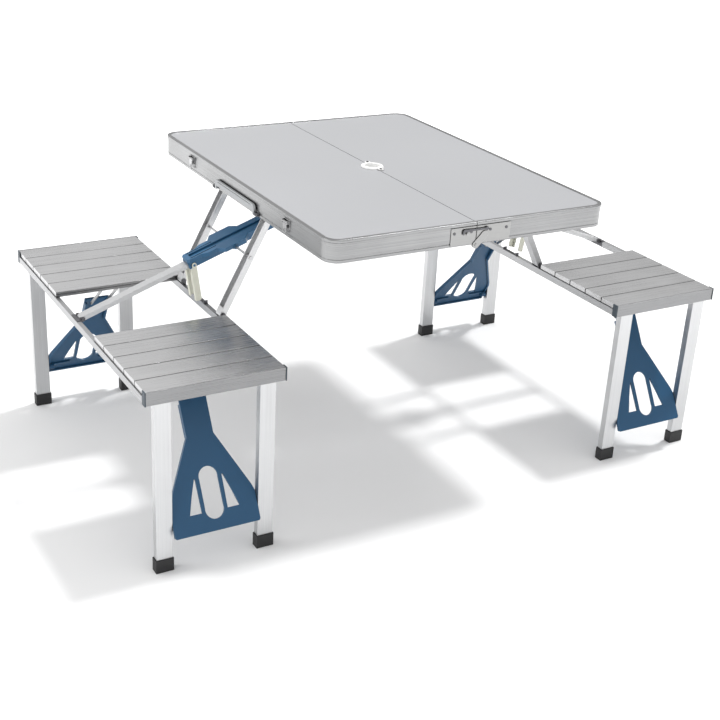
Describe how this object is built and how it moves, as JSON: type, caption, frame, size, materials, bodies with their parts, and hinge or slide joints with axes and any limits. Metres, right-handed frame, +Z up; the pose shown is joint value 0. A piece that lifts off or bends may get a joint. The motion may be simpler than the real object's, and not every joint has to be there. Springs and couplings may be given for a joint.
{
  "type": "folding picnic table with attached seats",
  "caption": "Folding picnic table: a two-part tray top with an umbrella hole, and a slatted bench on swinging arms at each side, on braced folding legs.",
  "frame": {"origin": "on the floor under the middle of the table top", "axes": "+X across the fold line towards the bench on the half with the umbrella ring, +Y along the fold line to the back end, +Z up"},
  "size_m": [1.424, 0.8626, 0.6596],
  "materials": {
    "rim": "satin",
    "board": "satin",
    "ring": "satin",
    "screw": "satin",
    "plate": "satin",
    "dark_metal": "satin",
    "handle": "satin",
    "tube": "satin",
    "slat": "brushed",
    "pin": "satin",
    "blue": "satin",
    "cream": "satin",
    "foot": "matte",
    "cap": "satin"
  },
  "bodies": {
    "left_top": {"rim_left": "rim", "board_left": "board", "fold_plates_left": "plate", "plate_rivets_left": "dark_metal", "handle_bosses": "dark_metal", "latch_plates": "dark_metal", "top_clips_left": "dark_metal"},
    "right_top": {"rim_right": "rim", "board_right": "board", "umbrella_ring": "ring", "ring_screws": "screw", "fold_plates_right": "plate", "plate_rivets_right": "dark_metal", "latch_keepers": "dark_metal", "top_clips_right": "dark_metal"},
    "handle": {"carry_handle": "handle"},
    "latch_front": {"latch_front": "plate"},
    "catch_front": {"fold_catch_front": "dark_metal"},
    "latch_back": {"latch_back": "plate"},
    "catch_back": {"fold_catch_back": "dark_metal"},
    "arms_left": {"side_arms_left": "tube", "cross_pin_left": "pin"},
    "bench_left": {"rails_left": "tube", "slats_left": "slat", "fascias_left": "slat", "rail_caps_left": "cap", "bench_clips_left": "dark_metal", "leg_rods_left": "pin"},
    "strut_left": {"strut_left": "tube"},
    "guide_left": {"guide_left": "blue"},
    "prop_left": {"prop_left": "cream"},
    "legs_left_front": {"legs_left_front": "tube", "feet_left_front": "foot"},
    "brace_left_front": {"brace_left_front": "blue"},
    "strap_left_front": {"strap_left_front": "plate"},
    "legs_left_back": {"legs_left_back": "tube", "feet_left_back": "foot"},
    "brace_left_back": {"brace_left_back": "blue"},
    "strap_left_back": {"strap_left_back": "plate"},
    "arms_right": {"side_arms_right": "tube", "cross_pin_right": "pin"},
    "bench_right": {"rails_right": "tube", "slats_right": "slat", "fascias_right": "slat", "rail_caps_right": "cap", "bench_clips_right": "dark_metal", "leg_rods_right": "pin"},
    "strut_right": {"strut_right": "tube"},
    "guide_right": {"guide_right": "blue"},
    "prop_right": {"prop_right": "cream"},
    "legs_right_front": {"legs_right_front": "tube", "feet_right_front": "foot"},
    "brace_right_front": {"brace_right_front": "blue"},
    "strap_right_front": {"strap_right_front": "plate"},
    "legs_right_back": {"legs_right_back": "tube", "feet_right_back": "foot"},
    "brace_right_back": {"brace_right_back": "blue"},
    "strap_right_back": {"strap_right_back": "plate"}
  },
  "joints": [
    {"name": "top_fold", "type": "hinge", "parent": "left_top", "child": "right_top", "pos_m": [0, 0, 0.609], "axis": [0, 1, 0], "range_deg": [0, 60]},
    {"name": "handle_swing", "type": "hinge", "parent": "left_top", "child": "handle", "pos_m": [-0.3432, 0, 0.614], "axis": [0, -1, 0], "range_deg": [0, 110]},
    {"name": "latch_lift_front", "type": "hinge", "parent": "left_top", "child": "latch_front", "pos_m": [-0.3427, -0.245, 0.641], "axis": [0, 1, 0], "range_deg": [0, 100]},
    {"name": "catch_lift_front", "type": "hinge", "parent": "right_top", "child": "catch_front", "pos_m": [0.024, -0.429, 0.642], "axis": [0, 1, 0], "range_deg": [0, 40]},
    {"name": "latch_lift_back", "type": "hinge", "parent": "left_top", "child": "latch_back", "pos_m": [-0.3427, 0.245, 0.641], "axis": [0, 1, 0], "range_deg": [0, 100]},
    {"name": "catch_lift_back", "type": "hinge", "parent": "right_top", "child": "catch_back", "pos_m": [0.024, 0.429, 0.642], "axis": [0, 1, 0], "range_deg": [0, 40]},
    {"name": "arm_swing_left", "type": "hinge", "parent": "left_top", "child": "arms_left", "pos_m": [-0.296, 0, 0.644], "axis": [0, -1, 0], "range_deg": [0, 117.5]},
    {"name": "bench_level_left", "type": "hinge", "parent": "arms_left", "child": "bench_left", "pos_m": [-0.422, 0, 0.402], "axis": [0, -1, 0], "range_deg": [-117.51, 0]},
    {"name": "strut_tilt_left", "type": "hinge", "parent": "bench_left", "child": "strut_left", "pos_m": [-0.696, 0, 0.3935], "axis": [0, -1, 0], "range_deg": [-19.67, 0]},
    {"name": "guide_turn_left", "type": "hinge", "parent": "arms_left", "child": "guide_left", "pos_m": [-0.359, 0, 0.523], "axis": [0, -1, 0], "range_deg": [-137.18, 0]},
    {"name": "prop_fold_left", "type": "hinge", "parent": "guide_left", "child": "prop_left", "pos_m": [-0.44576, 0, 0.48349], "axis": [0, -1, 0], "range_deg": [0, 101]},
    {"name": "leg_fold_left_front", "type": "hinge", "parent": "bench_left", "child": "legs_left_front", "pos_m": [-0.565, -0.406, 0.383], "axis": [1, 0, 0], "range_deg": [0, 90]},
    {"name": "brace_fold_left_front", "type": "hinge", "parent": "legs_left_front", "child": "brace_left_front", "pos_m": [-0.565, -0.4087, 0.0953], "axis": [1, 0, 0], "range_deg": [0, 30.4]},
    {"name": "strap_fold_left_front", "type": "hinge", "parent": "bench_left", "child": "strap_left_front", "pos_m": [-0.565, -0.1734, 0.3854], "axis": [1, 0, 0], "range_deg": [-38.3, 0]},
    {"name": "leg_fold_left_back", "type": "hinge", "parent": "bench_left", "child": "legs_left_back", "pos_m": [-0.565, 0.406, 0.383], "axis": [-1, 0, 0], "range_deg": [0, 90]},
    {"name": "brace_fold_left_back", "type": "hinge", "parent": "legs_left_back", "child": "brace_left_back", "pos_m": [-0.565, 0.4087, 0.0953], "axis": [-1, 0, 0], "range_deg": [0, 30.4]},
    {"name": "strap_fold_left_back", "type": "hinge", "parent": "bench_left", "child": "strap_left_back", "pos_m": [-0.565, 0.1734, 0.3854], "axis": [-1, 0, 0], "range_deg": [-38.3, 0]},
    {"name": "arm_swing_right", "type": "hinge", "parent": "right_top", "child": "arms_right", "pos_m": [0.296, 0, 0.644], "axis": [0, 1, 0], "range_deg": [0, 117.5]},
    {"name": "bench_level_right", "type": "hinge", "parent": "arms_right", "child": "bench_right", "pos_m": [0.422, 0, 0.402], "axis": [0, 1, 0], "range_deg": [-117.51, 0]},
    {"name": "strut_tilt_right", "type": "hinge", "parent": "bench_right", "child": "strut_right", "pos_m": [0.696, 0, 0.3935], "axis": [0, 1, 0], "range_deg": [-19.67, 0]},
    {"name": "guide_turn_right", "type": "hinge", "parent": "arms_right", "child": "guide_right", "pos_m": [0.359, 0, 0.523], "axis": [0, 1, 0], "range_deg": [-137.18, 0]},
    {"name": "prop_fold_right", "type": "hinge", "parent": "guide_right", "child": "prop_right", "pos_m": [0.44576, 0, 0.48349], "axis": [0, 1, 0], "range_deg": [0, 101]},
    {"name": "leg_fold_right_front", "type": "hinge", "parent": "bench_right", "child": "legs_right_front", "pos_m": [0.565, -0.406, 0.383], "axis": [1, 0, 0], "range_deg": [0, 90]},
    {"name": "brace_fold_right_front", "type": "hinge", "parent": "legs_right_front", "child": "brace_right_front", "pos_m": [0.565, -0.4087, 0.0953], "axis": [1, 0, 0], "range_deg": [0, 30.4]},
    {"name": "strap_fold_right_front", "type": "hinge", "parent": "bench_right", "child": "strap_right_front", "pos_m": [0.565, -0.1734, 0.3854], "axis": [1, 0, 0], "range_deg": [-38.3, 0]},
    {"name": "leg_fold_right_back", "type": "hinge", "parent": "bench_right", "child": "legs_right_back", "pos_m": [0.565, 0.406, 0.383], "axis": [-1, 0, 0], "range_deg": [0, 90]},
    {"name": "brace_fold_right_back", "type": "hinge", "parent": "legs_right_back", "child": "brace_right_back", "pos_m": [0.565, 0.4087, 0.0953], "axis": [-1, 0, 0], "range_deg": [0, 30.4]},
    {"name": "strap_fold_right_back", "type": "hinge", "parent": "bench_right", "child": "strap_right_back", "pos_m": [0.565, 0.1734, 0.3854], "axis": [-1, 0, 0], "range_deg": [-38.3, 0]}
  ],
  "couplings": [
    {"joint": "bench_level_left", "follows": "arm_swing_left", "ratio": -1},
    {"joint": "strut_tilt_left", "follows": "arm_swing_left", "ratio": -0.16741},
    {"joint": "guide_turn_left", "follows": "arm_swing_left", "ratio": -1.1674},
    {"joint": "prop_fold_left", "follows": "arm_swing_left", "ratio": 0.85954},
    {"joint": "brace_fold_left_front", "follows": "leg_fold_left_front", "ratio": 0.33778},
    {"joint": "strap_fold_left_front", "follows": "leg_fold_left_front", "ratio": -0.42556},
    {"joint": "brace_fold_left_back", "follows": "leg_fold_left_back", "ratio": 0.33778},
    {"joint": "strap_fold_left_back", "follows": "leg_fold_left_back", "ratio": -0.42556},
    {"joint": "bench_level_right", "follows": "arm_swing_right", "ratio": -1},
    {"joint": "strut_tilt_right", "follows": "arm_swing_right", "ratio": -0.16741},
    {"joint": "guide_turn_right", "follows": "arm_swing_right", "ratio": -1.1674},
    {"joint": "prop_fold_right", "follows": "arm_swing_right", "ratio": 0.85954},
    {"joint": "brace_fold_right_front", "follows": "leg_fold_right_front", "ratio": 0.33778},
    {"joint": "strap_fold_right_front", "follows": "leg_fold_right_front", "ratio": -0.42556},
    {"joint": "brace_fold_right_back", "follows": "leg_fold_right_back", "ratio": 0.33778},
    {"joint": "strap_fold_right_back", "follows": "leg_fold_right_back", "ratio": -0.42556}
  ]
}
